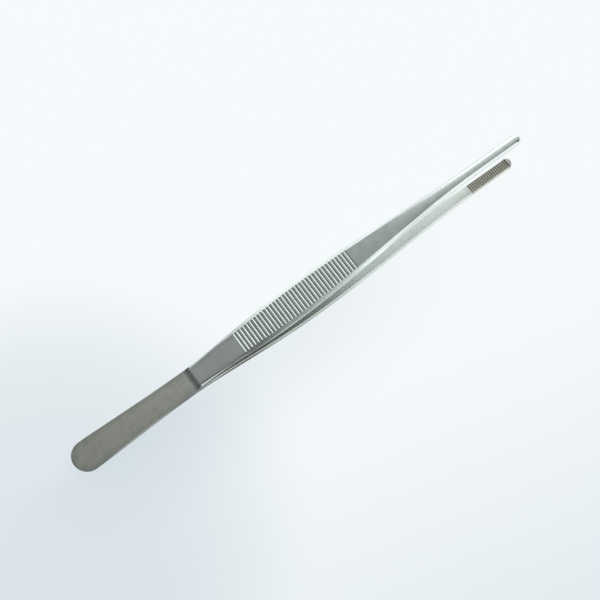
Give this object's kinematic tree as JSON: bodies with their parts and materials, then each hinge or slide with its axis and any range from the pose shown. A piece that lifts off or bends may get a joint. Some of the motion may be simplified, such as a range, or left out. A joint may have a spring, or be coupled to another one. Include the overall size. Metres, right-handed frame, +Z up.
{
  "type": "thumb forceps",
  "caption": "Straight dressing forceps: two welded spring legs of satin steel with cross-grooved grips and fine transverse teeth in slender rounded jaws.",
  "frame": {"origin": "bottom centre of the bounding box, on the surface that the forceps lie on, under the middle of their length", "axes": "+X along the length from the butt towards the jaws, +Y across the legs, +Z up, the way the legs open; the forceps lie on their lower leg"},
  "size_m": [0.2004, 0.012, 0.0263],
  "materials": {
    "satin_steel": "satin"
  },
  "bodies": {
    "root": {"upper_leg": "satin_steel", "lower_leg": "satin_steel"}
  },
  "joints": []
}
